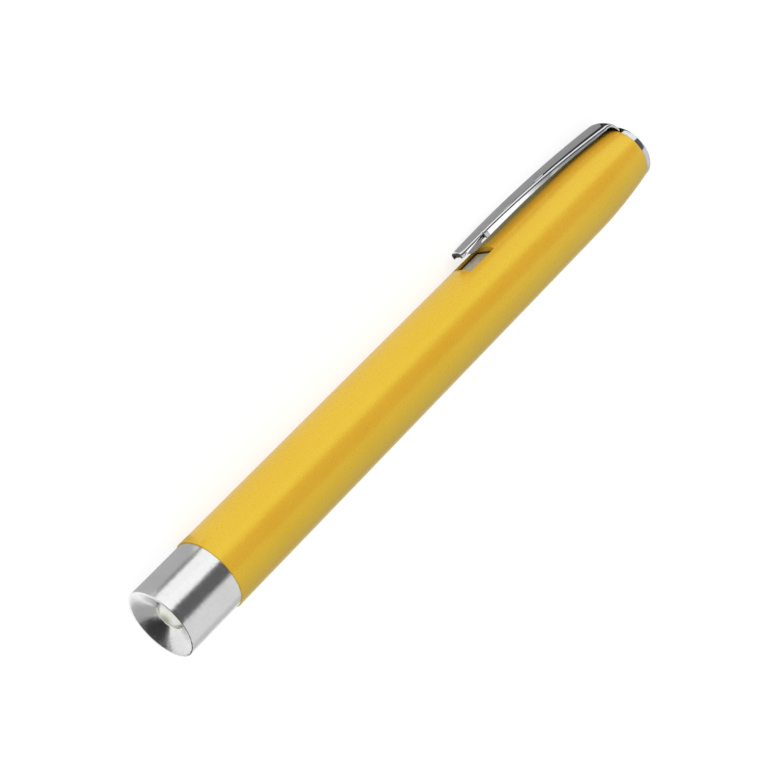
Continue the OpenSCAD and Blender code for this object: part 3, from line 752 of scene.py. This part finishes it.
def floor_finish():
    """White paper that the camera and the metal see at full white, save for the shadow on it."""
    f = Finish("floor_white")
    f.material.cycles.emission_sampling = "NONE"
    faint = f.noise(f.place(), 0.01, 2)
    seen = f.seen()
    lift = seen * FLOOR_LIFT
    paper = f.blend(seen, f.blend(faint, grey(0.9), grey(0.92)), grey(0.36))
    glow = f.node("ShaderNodeCombineColor", {}, {"Red": lift, "Green": lift, "Blue": lift})
    return f.surface(base_color=paper, roughness=0.9, specular_ior_level=0.0, emission_color=glow,
                     emission_strength=1.0)


def card_finish(name, level):
    """Plain card that shines at a level."""
    f = Finish(name)
    f.material.cycles.emission_sampling = "NONE"
    faint = f.noise(f.place(), 0.02, 2)
    return f.surface(base_color=grey(0), roughness=1.0, specular_ior_level=0.0,
                     emission_color=f.blend(faint, grey(level * 0.97), grey(level)), emission_strength=1.0)


def mirror_card(name, width, height, place, towards, level):
    """A card that only shows as a reflection in polished surfaces."""
    card = flat_card(name, width, height, place, towards, card_finish(name, level))
    card.visible_camera = False
    card.visible_diffuse = False
    card.visible_shadow = False
    card.visible_transmission = False


def softbox(name, x, y, level):
    """A low lamp beside the pen whose face shines at a level. Polished surfaces don't show it."""
    lamp = bpy.data.lights.new(name, "AREA")
    lamp.shape = "RECTANGLE"
    lamp.size = SOFTBOX_W
    lamp.size_y = SOFTBOX_H
    lamp.energy = level * math.pi * SOFTBOX_W * SOFTBOX_H
    made = bpy.data.objects.new(name, lamp)
    made.location = (x, y, SOFTBOX_H / 2)
    made.rotation_mode = "QUATERNION"
    made.rotation_quaternion = Vector((0, -y, 0)).to_track_quat("-Z", "Y")
    made.visible_glossy = False
    bpy.context.scene.collection.objects.link(made)


def side_card(name, y, low, high, level):
    """An upright card along one side of the pen."""
    middle = (low + high) / 2
    mirror_card(name, SIDE_CARD_W, high - low, (SIDE_X, y, middle), (SIDE_X, 0, middle), level)


def front_card(name, low_y, high_y, high, level):
    """An upright card ahead of the head, which its reflector shows."""
    middle = Vector((FRONT_X, (low_y + high_y) / 2, high / 2))
    mirror_card(name, high_y - low_y, high, middle, middle - Vector((1, 0, 0)), level)


def level_card(name, low_x, high_x, low_y, high_y, z, facing, level):
    middle = Vector(((low_x + high_x) / 2, (low_y + high_y) / 2, z))
    mirror_card(name, high_x - low_x, high_y - low_y, middle, middle + Vector((0, 0, facing)), level)


flat_card("floor", FLOOR_SIZE, FLOOR_SIZE, (0, 0, FLOOR_Z), (0, 0, 1), floor_finish())

# Low softboxes on both sides of the pen, and the upright cards that its polished surfaces show
softbox("key", SIDE_X, -SIDE_Y, 2.5)
softbox("fill", 0, SIDE_Y, 1.0)
side_card("key_face", -SIDE_Y, 0.0, SOFTBOX_H, 1.1)
side_card("dark_card", -SIDE_Y, SOFTBOX_H, 1.7, 0.12)
side_card("far_card", SIDE_Y, 0.0, 0.4, 0.58)
front_card("front_dark", FRONT_LOW_Y, FRONT_MIDDLE_Y, 0.034, 0.03)
front_card("front_grey", FRONT_MIDDLE_Y, 0.3, 0.07, 0.42)
level_card("front_strip", FRONT_LOW_X, FRONT_X, FRONT_LOW_Y, FRONT_MIDDLE_Y, MARK_Z, UP, 0.03)
level_card("rim_strip", 0.07, FRONT_LOW_X, MARK_FAR_Y, 0.03, MARK_Z, UP, 0.9)

# Grey strips on the floor beside the pen, each with a darker edge, are painted shadow: they stand in for the pen's
# shadow on the floor as its metal reflects it. Columns: name, ends along X, where the edge starts, two levels
for name, low_x, high_x, edge_y, grey_level, dark_level in (
        ("head", 0.053, 0.067, -0.0105, 0.47, 0.28),
        ("clip_tip", -0.036, -0.0215, -0.0105, 0.4, 0.25),
        ("clip_middle", -0.046, -0.036, -0.0098, 0.38, 0.15),
        ("clip_root", -0.0682, -0.046, -0.0092, 0.36, 0.05)):
    level_card(name + "_grey", low_x, high_x, edge_y, MARK_FAR_Y, MARK_Z, UP, grey_level)
    level_card(name + "_dark", low_x - MARK_SHIFT, high_x - MARK_SHIFT, MARK_NEAR_Y, edge_y, MARK_Z, UP,
               dark_level)
# A dark strip under the clip's bend is painted shade, for the shade that the inside of the bend reflects
level_card("bend_dark", -0.1, -0.0682, MARK_NEAR_Y, 0.006, MARK_Z, UP, 0.05)

# Light and grey panels overhead, which the side of the clip shows: name, ends along X, level
for name, low_x, high_x, level in (
        ("overhead_tip", -0.2155, -0.19, 0.4),
        ("overhead_light", -0.25, -0.2155, 1.5),
        ("overhead_root", -0.3, -0.256, 0.38)):
    level_card(name, low_x, high_x, OVERHEAD_LOW_Y, OVERHEAD_HIGH_Y, OVERHEAD_Z, DOWN, level)

world = bpy.data.worlds.new("studio")
bpy.context.scene.world = world
sky = Shading(world)
sky_level = sky.remap(sky.seen(), 0, 1, WORLD_LEVEL, WORLD_SEEN)
background = sky.node("ShaderNodeBackground", {}, {"Color": grey(1), "Strength": sky_level})
sky.node("ShaderNodeOutputWorld", {}, {"Surface": background})

lens = bpy.data.cameras.new("camera")
lens.sensor_width = SENSOR_MM
lens.lens = LENS_MM
lens.clip_start = 0.01
lens.clip_end = 50
camera = bpy.data.objects.new("camera", lens)
back = Vector((math.sin(SIGHT_AZIMUTH) * math.cos(SIGHT_ELEVATION),
               -math.cos(SIGHT_AZIMUTH) * math.cos(SIGHT_ELEVATION), math.sin(SIGHT_ELEVATION)))
upright = (-back).to_track_quat("-Z", "Y").to_matrix().to_4x4()
camera.matrix_world = (Matrix.Translation(SIGHT_MIDDLE + back * SIGHT_DISTANCE) @ upright
                       @ Matrix.Rotation(SIGHT_ROLL, 4, "Z"))
bpy.context.scene.collection.objects.link(camera)
bpy.context.scene.camera = camera
bpy.context.scene.view_settings.view_transform = "Standard"
